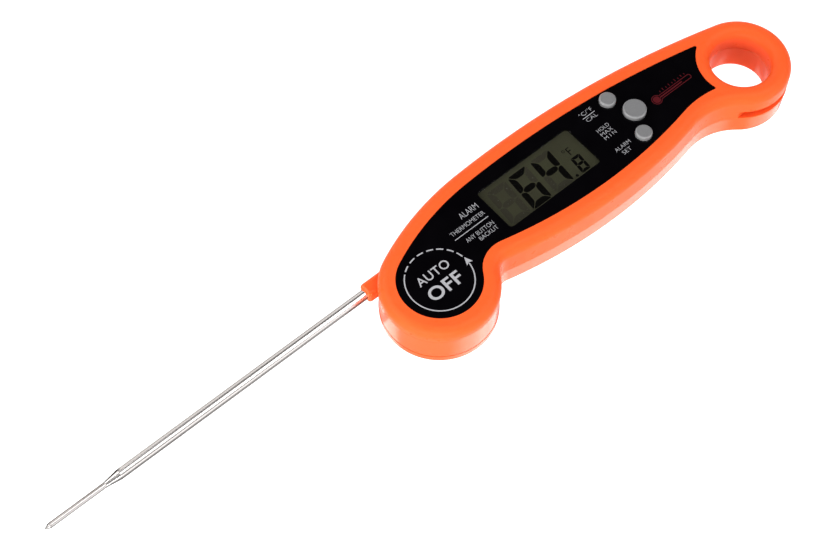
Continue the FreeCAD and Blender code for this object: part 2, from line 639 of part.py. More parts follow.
def probe_hub():
    drum = cylinder(0, 0, DRUM_R, DRUM_Z0, DRUM_Z1)
    drum = drum.makeFillet(0.06, edges_at(drum, DRUM_Z0)).makeFillet(0.12, edges_at(drum, DRUM_Z1))
    boss = block(BOSS_END_X, -8, PROBE_Y - BOSS_HALF, PROBE_Y + BOSS_HALF,
                 PROBE_Z - BOSS_HALF, PROBE_Z + BOSS_HALF)
    boss = boss.makeFillet(BOSS_ROUND, [e for e in boss.Edges if e.BoundBox.XMax < -9
                                        or e.BoundBox.XLength > 5])
    shape = drum.fuse(boss)
    cuts = [
        cylinder(0, 0, PIVOT_POST_R + PIVOT_FIT, 0, BODY_TOP),
        tube(0, 0, LEAD_POCKET[1], LEAD_POCKET[0], LEAD_POCKET_Z0, DRUM_Z1 + 1),
        rod_x(BOSS_END_X - 1, PROBE_ROOT_X, PROBE_Y, PROBE_Z, PROBE_R + 0.02),
        cylinder(HUB_MAGNET_X, 0, HUB_MAGNET_R + 0.03, DRUM_Z1 - 2.1, DRUM_Z1 + 1),
    ]
    room_x = LOOP_R + 1.0
    cuts.append(block(-room_x - 1.4, -room_x + 2.0, 4.0, PROBE_Y + 1.0, PROBE_Z - 1.0, PROBE_Z + 1.0))
    return shape.cut(cuts).removeSplitter()


def probe_tube():
    """A drawn tube, necked down to a fine closed point; turned about the probe's axis."""
    nose = 0.18
    points = [(PROBE_ROOT_X, PROBE_BORE_R), (PROBE_ROOT_X, PROBE_R), (SHOULDER_X, PROBE_R),
              (NECK_X, TIP_R), (POINT_X, TIP_R), (TIP_END_X + 0.05, nose), (TIP_END_X, 0.0),
              (POINT_X + 0.4, 0.0), (POINT_X + 0.4, TIP_BORE_R), (NECK_X + 0.3, TIP_BORE_R),
              (SHOULDER_X, PROBE_BORE_R)]
    wire = Part.makePolygon([V(x, PROBE_Y + r, PROBE_Z) for x, r in points + points[:1]])
    return Part.Face(wire).revolve(V(0, PROBE_Y, PROBE_Z), V(1, 0, 0), 360)


def thermistor_bead():
    x0 = POINT_X + 0.6
    bead = rod_x(x0, x0 + 1.6, PROBE_Y, PROBE_Z, 0.5)
    return bead.makeFillet(0.2, [e for e in bead.Edges if e.BoundBox.XLength < 0.01])


def probe_potting():
    """The resin that closes the tube's inner end around the lead."""
    plug = rod_x(-18.0, PROBE_ROOT_X, PROBE_Y, PROBE_Z, PROBE_BORE_R - 0.02)
    return plug.cut(rod_x(-20.0, 0.0, PROBE_Y, PROBE_Z, LEAD_R + 0.02))


def swept_lead(edges, start, direction):
    """A round lead along tangent runs and arcs."""
    path = Part.Wire(edges)
    section = Part.Wire(Part.makeCircle(LEAD_R, start, direction))
    sweep = path.makePipeShell([section], True, False)
    print("lead length %.1f, volume over section length %.3f"
          % (path.Length, sweep.Volume / (math.pi * LEAD_R ** 2 * path.Length)))
    return sweep


def corner(start, centre, axis, degrees):
    """An arc edge that starts at a point and turns about an axis through centre."""
    turn = lambda d: centre + FreeCAD.Rotation(axis, d).multVec(start - centre)
    end = turn(degrees)
    return Part.Arc(start, turn(degrees / 2), end).toShape(), end


def sensor_lead_probe():
    """From the bead up the tube, round a loop in the drum's pocket, and up to its mouth."""
    z = PROBE_Z
    begin = V(POINT_X + 2.2, PROBE_Y, z)
    bend = V(-LOOP_R - LEAD_TURN_R, PROBE_Y, z)
    edges = [Part.makeLine(begin, bend)]
    arc, end = corner(bend, V(bend.x, PROBE_Y - LEAD_TURN_R, z), V(0, 0, 1), -90)
    edges.append(arc)
    loop_start = V(-LOOP_R, 0, z)
    edges.append(Part.makeLine(end, loop_start))
    arc, end = corner(loop_start, V(0, 0, z), V(0, 0, 1), 180)
    edges.append(arc)
    arc, end = corner(end, V(LOOP_R, 0, z + 1.2), V(1, 0, 0), 90)
    edges.append(arc)
    edges.append(Part.makeLine(end, V(end.x, end.y, DRUM_Z1 - 1.0)))
    return swept_lead(edges, begin, V(1, 0, 0))


def sensor_lead_body():
    """From the pivot, through the channel in the front shell, down to the board."""
    z = INNER_TOP - 0.5
    bend = 0.9
    begin = V(LOOP_R, 0, FRONT_DISC_Z0 - 0.2)
    up = V(LOOP_R, 0, z - bend)
    edges = [Part.makeLine(begin, up)]
    arc, end = corner(up, V(LOOP_R + bend, 0, up.z), V(0, 1, 0), 90)
    edges.append(arc)
    far = V(23.2 - bend, 0, z)
    edges.append(Part.makeLine(end, far))
    arc, end = corner(far, V(far.x, 0, z - bend), V(0, 1, 0), 90)
    edges.append(arc)
    edges.append(Part.makeLine(end, V(end.x, 0, BOARD_Z[1] + 0.02)))
    return swept_lead(edges, begin, V(0, 0, 1))


def hub_magnet():
    return cylinder(HUB_MAGNET_X, 0, HUB_MAGNET_R, DRUM_Z1 - 2.08, DRUM_Z1 - 0.05)


# ---------------------------------------------------------------- build
def main():
    os.makedirs("parts", exist_ok=True)
    export("front_shell", front_shell())
    export("back_shell", back_shell())
    export("housing_gasket", gasket_ring(0.4, 0.9, SPLIT_Z - 0.6, SPLIT_Z + 0.6))
    export("face_panel", face_panel())
    export("display_window", display_window())
    export("lcd_glass", lcd_glass())
    export("lcd_frame", lcd_frame())
    export("zebra_strip", zebra_strip())
    export("backlight_diffuser", backlight_diffuser())
    export("backlight_leds", backlight_leds())
    export("main_board", main_board())
    export("controller_chip", controller_chip())
    export("clock_crystal", clock_crystal())
    export("chip_components", chip_components())
    export("reed_switch", reed_switch())
    export("buzzer", buzzer())
    export("dome_switches", dome_switches())
    export("keypad_membrane", keypad_membrane())
    for name, x, y, r in BUTTONS:
        export(name, button(x, y, r))
    export("coin_cell", coin_cell())
    export("battery_holder", battery_holder())
    export("battery_contact_negative", battery_contact_negative())
    export("battery_contact_positive", battery_contact_positive())
    export("battery_cover", battery_cover())
    export("battery_cover_seal", battery_cover_seal())
    export("back_magnets", back_magnets())
    export("housing_screws", Part.Compound([housing_screw(x, y) for x, y in SCREWS]))
    export("board_screws", Part.Compound([board_screw(x, y) for x, y in BOARD_SCREWS]))
    export("pivot_screw", pivot_screw())
    export("friction_washer", friction_washer())
    export("pivot_seal_upper", pivot_seal(FRONT_DISC_Z0 + SEAL_R - 0.05))
    export("pivot_seal_lower", pivot_seal(BACK_DISC_T - SEAL_R + 0.05))
    export("sensor_lead_body", sensor_lead_body())
    export("probe_hub", probe_hub())
    export("probe_tube", probe_tube())
    export("probe_potting", probe_potting())
    export("thermistor_bead", thermistor_bead())
    export("sensor_lead_probe", sensor_lead_probe())
    export("hub_magnet", hub_magnet())
    for name, count, volume, valid in NODES:
        print("%-26s solids %d  volume %9.2f  valid %s" % (name, count, volume, valid))


main()
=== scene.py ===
"""The look of a folding food thermometer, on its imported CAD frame.

Metres, in the part's own frame: +X from the fold pivot to the hanging ring, +Z out of the display. The print
and the display are laid out in millimetres and scaled by MM.
"""
import json
import math

import bmesh
import bpy
from mathutils import Matrix, Vector


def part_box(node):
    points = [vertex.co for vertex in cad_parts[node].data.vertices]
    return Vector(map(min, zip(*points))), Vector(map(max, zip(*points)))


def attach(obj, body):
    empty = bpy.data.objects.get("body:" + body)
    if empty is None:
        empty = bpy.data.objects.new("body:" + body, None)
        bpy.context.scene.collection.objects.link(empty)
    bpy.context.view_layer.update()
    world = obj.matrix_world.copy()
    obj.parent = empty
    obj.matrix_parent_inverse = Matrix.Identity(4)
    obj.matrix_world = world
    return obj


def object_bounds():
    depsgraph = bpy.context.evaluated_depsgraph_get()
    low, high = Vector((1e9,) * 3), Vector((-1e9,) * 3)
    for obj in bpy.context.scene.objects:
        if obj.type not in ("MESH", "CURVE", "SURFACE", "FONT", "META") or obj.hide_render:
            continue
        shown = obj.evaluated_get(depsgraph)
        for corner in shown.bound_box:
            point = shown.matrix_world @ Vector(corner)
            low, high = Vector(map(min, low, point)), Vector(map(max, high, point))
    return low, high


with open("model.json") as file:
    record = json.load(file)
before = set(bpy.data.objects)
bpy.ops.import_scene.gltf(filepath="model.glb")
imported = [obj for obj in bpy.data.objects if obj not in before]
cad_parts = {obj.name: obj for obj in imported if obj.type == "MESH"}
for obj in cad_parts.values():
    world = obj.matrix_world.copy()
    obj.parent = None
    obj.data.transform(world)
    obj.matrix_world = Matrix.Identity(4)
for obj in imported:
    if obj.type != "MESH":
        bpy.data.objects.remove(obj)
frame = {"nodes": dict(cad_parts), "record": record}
cad_low, cad_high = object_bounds()
nodes = frame["nodes"]
scene = bpy.context.scene
MM = 0.001


# ---------------------------------------------------------------- camera
camera_data = bpy.data.cameras.new("camera")
camera_data.sensor_width = 36.0
camera_data.lens = 74.18
camera_data.clip_start = 0.01
camera_data.clip_end = 20.0
camera = bpy.data.objects.new("camera", camera_data)
scene.collection.objects.link(camera)
camera.location = (-0.1629, -0.1800, 0.4496)
yaw, pitch = math.radians(-40.269), math.radians(60.56)
camera.rotation_euler = (math.pi / 2 - pitch, 0.0, yaw)
scene.camera = camera


# ---------------------------------------------------------------- node helpers
class Shader:
    """A node material: a Principled BSDF, and short calls for the nodes that feed it."""

    def __init__(self, name, color, roughness, **sockets):
        self.material = bpy.data.materials.new(name)
        self.material.use_nodes = True
        self.tree = self.material.node_tree
        self.bsdf = self.tree.nodes["Principled BSDF"]
        self.bsdf.inputs["Base Color"].default_value = (*color, 1.0)
        self.bsdf.inputs["Roughness"].default_value = roughness
        for socket, value in sockets.items():
            self.bsdf.inputs[socket.replace("_", " ")].default_value = value
        self.coords = self.tree.nodes.new("ShaderNodeTexCoord").outputs["Object"]
        self.height = None

    def link(self, source, socket):
        self.tree.links.new(source, socket)

    def place(self, scale=(1, 1, 1), location=(0, 0, 0), rotation=(0, 0, 0)):
        node = self.tree.nodes.new("ShaderNodeMapping")
        node.inputs["Scale"].default_value = scale
        node.inputs["Location"].default_value = location
        node.inputs["Rotation"].default_value = rotation
        self.link(self.coords, node.inputs["Vector"])
        return node.outputs["Vector"]

    def noise(self, scale, detail=2.0, roughness=0.5, vector=None, distortion=0.0):
        node = self.tree.nodes.new("ShaderNodeTexNoise")
        node.inputs["Scale"].default_value = scale
        node.inputs["Detail"].default_value = detail
        node.inputs["Roughness"].default_value = roughness
        node.inputs["Distortion"].default_value = distortion
        self.link(vector or self.coords, node.inputs["Vector"])
        return node.outputs["Fac"]

    def cells(self, scale, feature="F1"):
        node = self.tree.nodes.new("ShaderNodeTexVoronoi")
        node.feature = feature
        node.inputs["Scale"].default_value = scale
        self.link(self.coords, node.inputs["Vector"])
        return node.outputs["Distance"]

    def remap(self, source, low, high, to_low=0.0, to_high=1.0):
        node = self.tree.nodes.new("ShaderNodeMapRange")
        node.inputs["From Min"].default_value = low
        node.inputs["From Max"].default_value = high
        node.inputs["To Min"].default_value = to_low
        node.inputs["To Max"].default_value = to_high
        self.link(source, node.inputs["Value"])
        return node.outputs["Result"]

    def blend(self, fac, color_a, color_b):
        node = self.tree.nodes.new("ShaderNodeMix")
        node.data_type = "RGBA"
        self.link(fac, node.inputs["Factor"])
        for socket, color in ((node.inputs["A"], color_a), (node.inputs["B"], color_b)):
            if isinstance(color, bpy.types.NodeSocket):
                self.link(color, socket)
            else:
                socket.default_value = (*color, 1.0)
        return node.outputs["Result"]

    def color(self, source):
        self.link(source, self.bsdf.inputs["Base Color"])

    def rough(self, source):
        self.link(source, self.bsdf.inputs["Roughness"])

    def split(self, vector):
        """The X, Y and Z of a vector, as separate outputs."""
        node = self.tree.nodes.new("ShaderNodeSeparateXYZ")
        self.link(vector, node.inputs["Vector"])
        return node.outputs

    def math(self, operation, first, second):
        node = self.tree.nodes.new("ShaderNodeMath")
        node.operation = operation
        self.link(first, node.inputs[0])
        self.link(second, node.inputs[1])
        return node.outputs["Value"]

    def bump(self, source, distance):
        """Adds relief on top of any that is there already. The distance is in metres."""
        node = self.tree.nodes.new("ShaderNodeBump")
        node.inputs["Strength"].default_value = 1.0
        node.inputs["Distance"].default_value = distance
        self.link(source, node.inputs["Height"])
        if self.height is not None:
            self.link(self.height, node.inputs["Normal"])
        self.height = node.outputs["Normal"]
        self.link(self.height, self.bsdf.inputs["Normal"])


def shade(color, factor):
    return tuple(min(1.0, c * factor) for c in color)


def moulded(name, color, roughness, grain=2600.0, depth=6e-6, spread=0.05, **sockets):
    """Moulded plastic: slight colour drift, a fine grain and faint flow unevenness."""
    s = Shader(name, color, roughness, **sockets)
    drift = s.remap(s.noise(55.0, 3.0), 0.3, 0.7)
    s.color(s.blend(drift, shade(color, 0.985), shade(color, 1.015)))
    s.rough(s.remap(s.noise(240.0, 4.0, 0.6), 0.3, 0.7, roughness - spread, roughness + spread))
    s.bump(s.noise(grain, 3.0, 0.6), depth)
    s.bump(s.noise(120.0, 1.0), 6e-6)
    return s.material


def lined_metal(name, color, roughness, axis_scale):
    """Metal with fine lines along one axis."""
    s = Shader(name, color, roughness, Metallic=1.0)
    lines = s.noise(1.0, 4.0, 0.65, s.place(scale=axis_scale))
    broad_scale = tuple(a * 0.25 for a in axis_scale)
    broad = s.noise(1.0, 2.0, 0.5, s.place(scale=broad_scale, location=(3, 1, 7)))
    s.color(s.blend(s.remap(broad, 0.3, 0.7), shade(color, 0.9), shade(color, 1.06)))
    s.rough(s.remap(lines, 0.3, 0.7, roughness - 0.06, roughness + 0.1))
    s.bump(lines, 3e-6)
    return s.material


# ---------------------------------------------------------------- materials
ORANGE = (0.77, 0.094, 0.021)
ETCHED_ORANGE = (0.42, 0.040, 0.010)
# The pigment tints all but the grazing reflections, and a little light passes into the plastic.
GLOW = dict(Subsurface_Weight=0.12, Subsurface_Scale=0.002, Subsurface_Radius=(1.0, 0.25, 0.08),
            Specular_Tint=(1.0, 0.75, 0.5, 1.0))
GLOSSY = dict(depth=3e-6, spread=0.03, **GLOW)

shell = moulded("orange_shell", ORANGE, 0.30, Specular_IOR_Level=0.07, **GLOW)
shell_gloss = moulded("orange_gloss", ORANGE, 0.14, Specular_IOR_Level=0.35, **GLOSSY)
hub_gloss = moulded("orange_hub", ORANGE, 0.12, Specular_IOR_Level=0.35, **GLOSSY)
etched_orange = moulded("orange_etched", ETCHED_ORANGE, 0.55, grain=5200.0, depth=1.2e-5, spread=0.08)


def panel_material():
    s = Shader("black_panel", (0.001, 0.0008, 0.0013), 0.08, Specular_IOR_Level=0.15)
    smudge = s.noise(95.0, 5.0, 0.6, distortion=0.6)
    s.rough(s.remap(smudge, 0.35, 0.75, 0.05, 0.13))
    s.color(s.blend(s.remap(smudge, 0.3, 0.8), (0.0008, 0.0006, 0.0010), (0.0014, 0.0012, 0.0017)))
    wiped = s.place(scale=(260, 5200, 260), rotation=(0, 0, 0.5))
    s.bump(s.noise(1.0, 3.0, 0.6, wiped), 6e-7)
    s.bump(s.noise(120.0, 1.0), 8e-6)
    return s.material


panel = panel_material()


def window_material():
    s = Shader("clear_window", (0.004, 0.004, 0.003), 0.05, Alpha=0.16, Specular_IOR_Level=0.25)
    s.rough(s.remap(s.noise(150.0, 4.0), 0.3, 0.8, 0.04, 0.10))
    s.bump(s.noise(110.0, 1.0), 6e-6)
    return s.material


window = window_material()


def lcd_material():
    """The display's own face: an olive grey, lighter and darker in broad clouds, with a fine unevenness."""
    olive = (0.052, 0.052, 0.031)
    s = Shader("lcd_face", olive, 0.16)
    cloud = s.remap(s.noise(70.0, 3.0, 0.5), 0.3, 0.7)
    grid = s.remap(s.noise(5200.0, 1.0), 0.3, 0.7)
    base = s.blend(cloud, (0.045, 0.042, 0.028), (0.059, 0.062, 0.034))
    s.color(s.blend(grid, base, olive))
    s.bump(s.noise(2400.0, 2.0), 1e-6)
    return s.material


lcd_face = lcd_material()


def ink(name, color, roughness=0.45, speckle=0.12, **sockets):
    """Screen-printed ink: uneven cover and a dry surface."""
    s = Shader(name, color, roughness, **sockets)
    cover = s.noise(3800.0, 3.0, 0.65)
    s.color(s.blend(s.remap(cover, 0.30, 0.60), shade(color, 1.0 - speckle), shade(color, 1.0 + speckle)))
    s.rough(s.remap(s.noise(1500.0, 2.0), 0.3, 0.7, roughness - 0.1, roughness + 0.1))
    s.bump(cover, 2e-6)
    return s.material


white_ink = ink("white_ink", (0.29, 0.29, 0.305), Specular_IOR_Level=0.2)
red_ink = ink("red_ink", (0.060, 0.003, 0.0055), Specular_IOR_Level=0.08)
segment_on = ink("lcd_segment", (0.0010, 0.0008, 0.0009), 0.18, Specular_IOR_Level=0.2)
segment_off = ink("lcd_segment_off", (0.040, 0.0375, 0.0255), 0.18)


def button_material():
    """Grey silicone keys: painted light, with the smooth sides coloured lighter than the rougher top face."""
    s = Shader("button_grey", (0.19, 0.19, 0.193), 0.42)
    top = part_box("button_hold")[1].z
    # Painted light and shade: the sides are coloured lighter and the top face darker.
    top_face = s.remap(s.split(s.coords)["Z"], top - 1.8e-4, top - 3e-5)
    mottle = s.remap(s.noise(1700.0, 4.0, 0.65), 0.3, 0.7)
    crown = s.blend(mottle, (0.118, 0.118, 0.121), (0.134, 0.134, 0.137))
    s.color(s.blend(top_face, (0.205, 0.205, 0.208), crown))
    s.rough(s.remap(top_face, 0.0, 1.0, 0.34, 0.62))
    s.bump(s.noise(3800.0, 3.0, 0.6), 5e-6)
    return s.material


button = button_material()


def probe_material():
    """Bright drawn tube with lines along it; painted shade along its underside, near and far; darker brown
    along its far side over the tapered part, darkest past the neck; and dark at the point.
    """
    s = Shader("probe_steel", (0.66, 0.63, 0.615), 0.14, Metallic=0.9, Specular_Tint=(0.2, 0.18, 0.17, 1.0))
    low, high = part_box("probe_tube")
    # Measured from the point along the axis, and round the axis from straight up.
    local = s.split(s.place(location=(-low.x, -(low.y + high.y) / 2, -(low.z + high.z) / 2)))
    along = local["X"]
    turn = s.math("ARCTAN2", local["Y"], local["Z"])
    # Painted shade: the underside, on the near and far sides, is coloured dark grey.
    under = s.math("MAXIMUM", s.remap(turn, -1.02, -1.22), s.remap(turn, 1.75, 2.0))
    tapered = s.remap(along, 0.0262, 0.0252)
    neck = s.remap(along, 0.0200, 0.0207)
    point = s.remap(along, 0.0024, 0.0008)
    lines = s.noise(1.0, 4.0, 0.65, s.place(scale=(3, 1300, 1300)))
    bright = s.blend(s.remap(lines, 0.3, 0.7), (0.60, 0.565, 0.55), (0.67, 0.645, 0.63))
    # Along the far side: dark brown over the tapered part, darkest past the neck, and warm grey beyond the
    # taper.
    tip_far_side_tone = s.blend(neck, (0.22, 0.19, 0.175), (0.085, 0.075, 0.070))
    far_side_tone = s.blend(tapered, (0.62, 0.58, 0.555), tip_far_side_tone)
    side = s.blend(s.remap(turn, -0.15, 0.45), bright, far_side_tone)
    underside_shaded = s.blend(under, side, (0.24, 0.23, 0.225))
    s.color(s.blend(point, underside_shaded, (0.13, 0.125, 0.12)))
    s.rough(s.remap(lines, 0.3, 0.7, 0.13, 0.24))
    s.bump(lines, 1.5e-7)
    return s.material


steel = probe_material()

plated = lined_metal("bright_steel", (0.66, 0.66, 0.67), 0.22, (900, 900, 2400))
contact = lined_metal("contact_metal", (0.78, 0.60, 0.30), 0.25, (400, 3200, 3200))
white_plastic = moulded("white_plastic", (0.72, 0.72, 0.69), 0.45)
chip = moulded("chip_black", (0.022, 0.022, 0.024), 0.55, grain=5200.0)
membrane = moulded("membrane", (0.42, 0.42, 0.42), 0.6, grain=3200.0)
diffuser = moulded("diffuser", (0.80, 0.83, 0.86), 0.35, Transmission_Weight=0.3)
resin = moulded("resin", (0.12, 0.07, 0.035), 0.3)
sleeve = moulded("lead_sleeve", (0.55, 0.55, 0.52), 0.5)


def rubber_material():
    s = Shader("seal_rubber", (0.018, 0.018, 0.018), 0.68)
    grain = s.noise(4200.0, 4.0, 0.7)
    bloom = s.noise(320.0, 3.0)
    s.color(s.blend(s.remap(bloom, 0.4, 0.8), (0.015, 0.015, 0.015), (0.045, 0.044, 0.042)))
    s.rough(s.remap(bloom, 0.3, 0.7, 0.58, 0.78))
    s.bump(grain, 1.2e-5)
    return s.material


rubber = rubber_material()


def zebra_material():
    """Fine conducting stripes between clear rubber."""
    s = Shader("conductive_rubber", (0.1, 0.1, 0.1), 0.6)
    wave = s.tree.nodes.new("ShaderNodeTexWave")
    wave.inputs["Scale"].default_value = 1500.0
    wave.inputs["Distortion"].default_value = 0.1
    s.link(s.coords, wave.inputs["Vector"])
    s.color(s.blend(wave.outputs["Fac"], (0.02, 0.02, 0.02), (0.30, 0.28, 0.27)))
    s.bump(wave.outputs["Fac"], 5e-6)
    return s.material


def board_material():
    """Solder resist over copper tracks."""
    s = Shader("circuit_board", (0.012, 0.09, 0.035), 0.35)
    tracks = s.cells(420.0, "DISTANCE_TO_EDGE")
    s.color(s.blend(s.remap(tracks, 0.03, 0.06), (0.03, 0.16, 0.06), (0.010, 0.075, 0.03)))
    s.rough(s.remap(s.noise(900.0, 3.0), 0.3, 0.7, 0.28, 0.42))
    s.bump(s.remap(tracks, 0.03, 0.06, 1.0, 0.0), 2e-5)
    return s.material


SLOT_MATERIALS = {
    "orange_shell": shell, "black_panel": panel, "clear_window": window, "lcd": lcd_face,
    "white_plastic": white_plastic, "button_grey": button, "conductive_rubber": zebra_material(),
    "diffuser": diffuser, "circuit_board": board_material(), "chip_black": chip, "membrane": membrane,
    "seal_rubber": rubber, "probe_steel": steel, "bright_steel": plated, "contact_metal": contact,
    "resin": resin, "lead_sleeve": sleeve,
}
NODE_MATERIALS = {"probe_hub": hub_gloss, "back_shell": shell_gloss, "battery_cover": shell_gloss}
for part in frame["record"]["subparts"]:
    target = nodes[part["node"]]
    material = NODE_MATERIALS.get(part["node"], SLOT_MATERIALS[part["material_slot"]])
    if not target.data.materials:
        target.data.materials.append(material)
    for k in range(len(target.material_slots)):
        target.material_slots[k].material = material


# ---------------------------------------------------------------- flat print
def new_piece(name, bm, material, body):
    mesh = bpy.data.meshes.new(name)
    bm.to_mesh(mesh)
    bm.free()
    obj = bpy.data.objects.new(name, mesh)
    scene.collection.objects.link(obj)
    mesh.materials.append(material)
    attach(obj, body)
    return obj


def add_face(bm, verts):
    """A face that looks up."""
    face = bm.faces.new(verts)
    face.normal_update()
    if face.normal.z < 0:
        face.normal_flip()


def add_polygon(bm, points, z):
    add_face(bm, [bm.verts.new((x * MM, y * MM, z)) for x, y in points])


def add_bar(bm, x0, x1, y0, y1, z):
    add_polygon(bm, ((x0, y0), (x1, y0), (x1, y1), (x0, y1)), z)


ARC_STEPS = 192     # in a full turn


def add_strip(bm, centre, radius, width, start, end, z):
    """An arc-shaped stroke, between two bearings in degrees."""
    count = max(3, int(abs(end - start) / 360 * ARC_STEPS))
    rows = []
    for k in range(count + 1):
        a = math.radians(start + (end - start) * k / count)
        rows.append([bm.verts.new(((centre[0] + r * math.cos(a)) * MM, (centre[1] + r * math.sin(a)) * MM, z))
                     for r in (radius - width / 2, radius + width / 2)])
    for (a, b), (c, d) in zip(rows, rows[1:]):
        add_face(bm, (a, b, d, c))


def add_text(bm, text, x_range, y_range, z, weight=0.0, spacing=1.0):
    """Flat lettering, scaled to fill a box in millimetres."""
    curve = bpy.data.curves.new("letters", "FONT")
    curve.body = text
    curve.offset = weight
    curve.space_character = spacing
    curve.resolution_u = 6
    holder = bpy.data.objects.new("letters", curve)
    scene.collection.objects.link(holder)
    bpy.context.view_layer.update()
    evaluated = holder.evaluated_get(bpy.context.evaluated_depsgraph_get())
    mesh = bpy.data.meshes.new_from_object(evaluated)
    xs = [v.co.x for v in mesh.vertices]
    ys = [v.co.y for v in mesh.vertices]
    scale_x = (x_range[1] - x_range[0]) / (max(xs) - min(xs)) * MM
    scale_y = (y_range[1] - y_range[0]) / (max(ys) - min(ys)) * MM
    corner = (x_range[0] * MM - min(xs) * scale_x, y_range[0] * MM - min(ys) * scale_y, z)
    mesh.transform(Matrix.Translation(corner) @ Matrix.Diagonal((scale_x, scale_y, 1.0, 1.0)))
    bm.from_mesh(mesh)
    bpy.data.meshes.remove(mesh)
    bpy.data.objects.remove(holder)
    bpy.data.curves.remove(curve)


PRINT_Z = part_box("face_panel")[1].z + 1.5e-5
LIGHT, MEDIUM, BOLD = -0.013, 0.008, 0.02

bm = bmesh.new()
add_text(bm, "AUTO", (-6.0, 5.7), (1.5, 4.5), PRINT_Z, MEDIUM, 1.06)
add_text(bm, "OFF", (-6.1, 5.75), (-4.9, -0.4), PRINT_Z, BOLD, 1.06)
for text, x0, x1, y0, y1 in (
        ("ALARM", 18.4, 25.2, 11.3, 13.35), ("THERMOMETER", 12.25, 25.15, 8.4, 9.85),
        ("ANY BUTTON", 14.5, 25.0, 4.0, 5.45), ("BACKLIT", 18.05, 25.0, 2.05, 3.45),
        ("°C/°F", 70.5, 75.5, 15.15, 16.6), ("CAL", 71.1, 75.3, 12.55, 13.85),
        ("HOLD", 70.8, 75.5, 7.55, 8.85), ("MAX", 70.8, 75.35, 5.8, 7.05),
        ("ALARM", 70.2, 76.2, -1.2, 0.1), ("SET", 71.4, 74.75, -3.3, -1.95)):
    add_text(bm, text, (x0, x1), (y0, y1), PRINT_Z, LIGHT)
add_text(bm, "MIN", (70.8, 75.35), (4.15, 5.35), PRINT_Z, LIGHT, 1.55)
add_bar(bm, 12.1, 25.15, 7.0, 7.23, PRINT_Z)
add_bar(bm, 70.6, 75.6, 14.3, 14.52, PRINT_Z)
CIRCLE_R = 10.35
HALF_DASH = 5.9     # degrees
add_strip(bm, (0, 0), CIRCLE_R, 0.38, 130.4, 353.0, PRINT_Z)
for middle in (14.9, 31.8, 49.4, 66.1, 83.8, 101.4, 119.5):
    add_strip(bm, (0, 0), CIRCLE_R, 0.42, middle - HALF_DASH, middle + HALF_DASH, PRINT_Z)
add_polygon(bm, ((10.42, 1.15), (9.2, -1.65), (10.32, -1.05), (11.6, -1.5)), PRINT_Z)
new_piece("face_print", bm, white_ink, "housing")

# A plain thermometer pictogram beside the buttons.
BULB = (93.2, 4.95)
TUBE_END_X = 107.0
LINE = 0.27
bm = bmesh.new()
add_strip(bm, BULB, 0.62, 1.24, 0, 360, PRINT_Z)
add_bar(bm, 94.2, 104.0, 4.72, 5.18, PRINT_Z)
add_strip(bm, BULB, 1.62, LINE, 28.0, 332.0, PRINT_Z)
for y in (4.06, 5.57):
    add_bar(bm, 94.6, TUBE_END_X, y, y + LINE, PRINT_Z)
add_strip(bm, (TUBE_END_X, BULB[1]), 0.755, LINE, -90, 90, PRINT_Z)
for k in range(9):
    x = 96.0 + 1.3 * k
    add_bar(bm, x, x + 0.24, 6.3, 7.2 if k % 2 else 6.9, PRINT_Z)
new_piece("face_mark", bm, red_ink, "housing")


# The cover's moulded marks: which way it turns. They lie in its recessed outer face, so they face down.
def add_arrow(bm, radius, start, end, z):
    add_strip(bm, (0, 0), radius, 0.4, start, end, z)
    a = math.radians(end)
    along = math.copysign(1.0, end - start)
    points = []
    for out, ahead in ((-0.85, 0.0), (0.0, 1.7), (0.85, 0.0)):
        points.append(((radius + out) * math.cos(a) - along * ahead * math.sin(a),
                       (radius + out) * math.sin(a) + along * ahead * math.cos(a)))
    add_polygon(bm, points, z)


cover_low, cover_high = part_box("battery_cover")
cover_centre = (cover_low + cover_high) / 2
MARK_RELIEF = 2e-5
bm = bmesh.new()
add_text(bm, "OPEN", (-3.3, 3.3), (4.4, 6.3), 0.0, 0.01, 1.1)
add_text(bm, "CLOSE", (-3.9, 3.9), (-6.3, -4.4), 0.0, 0.01, 1.1)
add_arrow(bm, 8.9, 62, 110, 0.0)
add_arrow(bm, 8.9, 298, 250, 0.0)
to_cover = Matrix.Translation((cover_centre.x, cover_centre.y, cover_low.z - MARK_RELIEF))
face_down = Matrix.Rotation(math.pi, 4, "Y")
bmesh.ops.transform(bm, verts=bm.verts, matrix=to_cover @ face_down)
new_piece("cover_marks", bm, etched_orange, "battery_door")


# ---------------------------------------------------------------- display
window_low, window_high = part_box("display_window")
# The display's layers lie just under the window: its face, the segments that are off, and those that are on.
PICTURE_Z = window_low.z - 1.2e-5
OFF_Z = window_low.z - 1.0e-5
ON_Z = window_low.z - 8e-6
OVERLAP = 0.3       # the picture runs under the panel's edge


def rounded_rect(x0, x1, y0, y1, radius, steps=6):
    """The outline of a rectangle with round corners."""
    points = []
    for cx, cy, start in ((x1 - radius, y1 - radius, 0), (x0 + radius, y1 - radius, 90),
                          (x0 + radius, y0 + radius, 180), (x1 - radius, y0 + radius, 270)):
        for k in range(steps + 1):
            a = math.radians(start + 90 * k / steps)
            points.append((cx + radius * math.cos(a), cy + radius * math.sin(a)))
    return points


bm = bmesh.new()
add_polygon(bm, rounded_rect(window_low.x / MM - OVERLAP, window_high.x / MM + OVERLAP,
                             window_low.y / MM - OVERLAP, window_high.y / MM + OVERLAP, 1.5), PICTURE_Z)
new_piece("lcd_picture", bm, lcd_face, "housing")


def soften(points, radius, steps=4):
    """Rounds the corners of an outline."""
    result = []
    for k, here in enumerate(points):
        p = Vector(here)
        arms = []
        for q in (Vector(points[k - 1]), Vector(points[(k + 1) % len(points)])):
            arm = q - p
            arms.append(arm * min(0.45, radius / arm.length))
        for n in range(steps + 1):
            t = n / steps
            result.append(tuple(p + (1 - t) ** 2 * arms[0] + t * t * arms[1]))
    return result


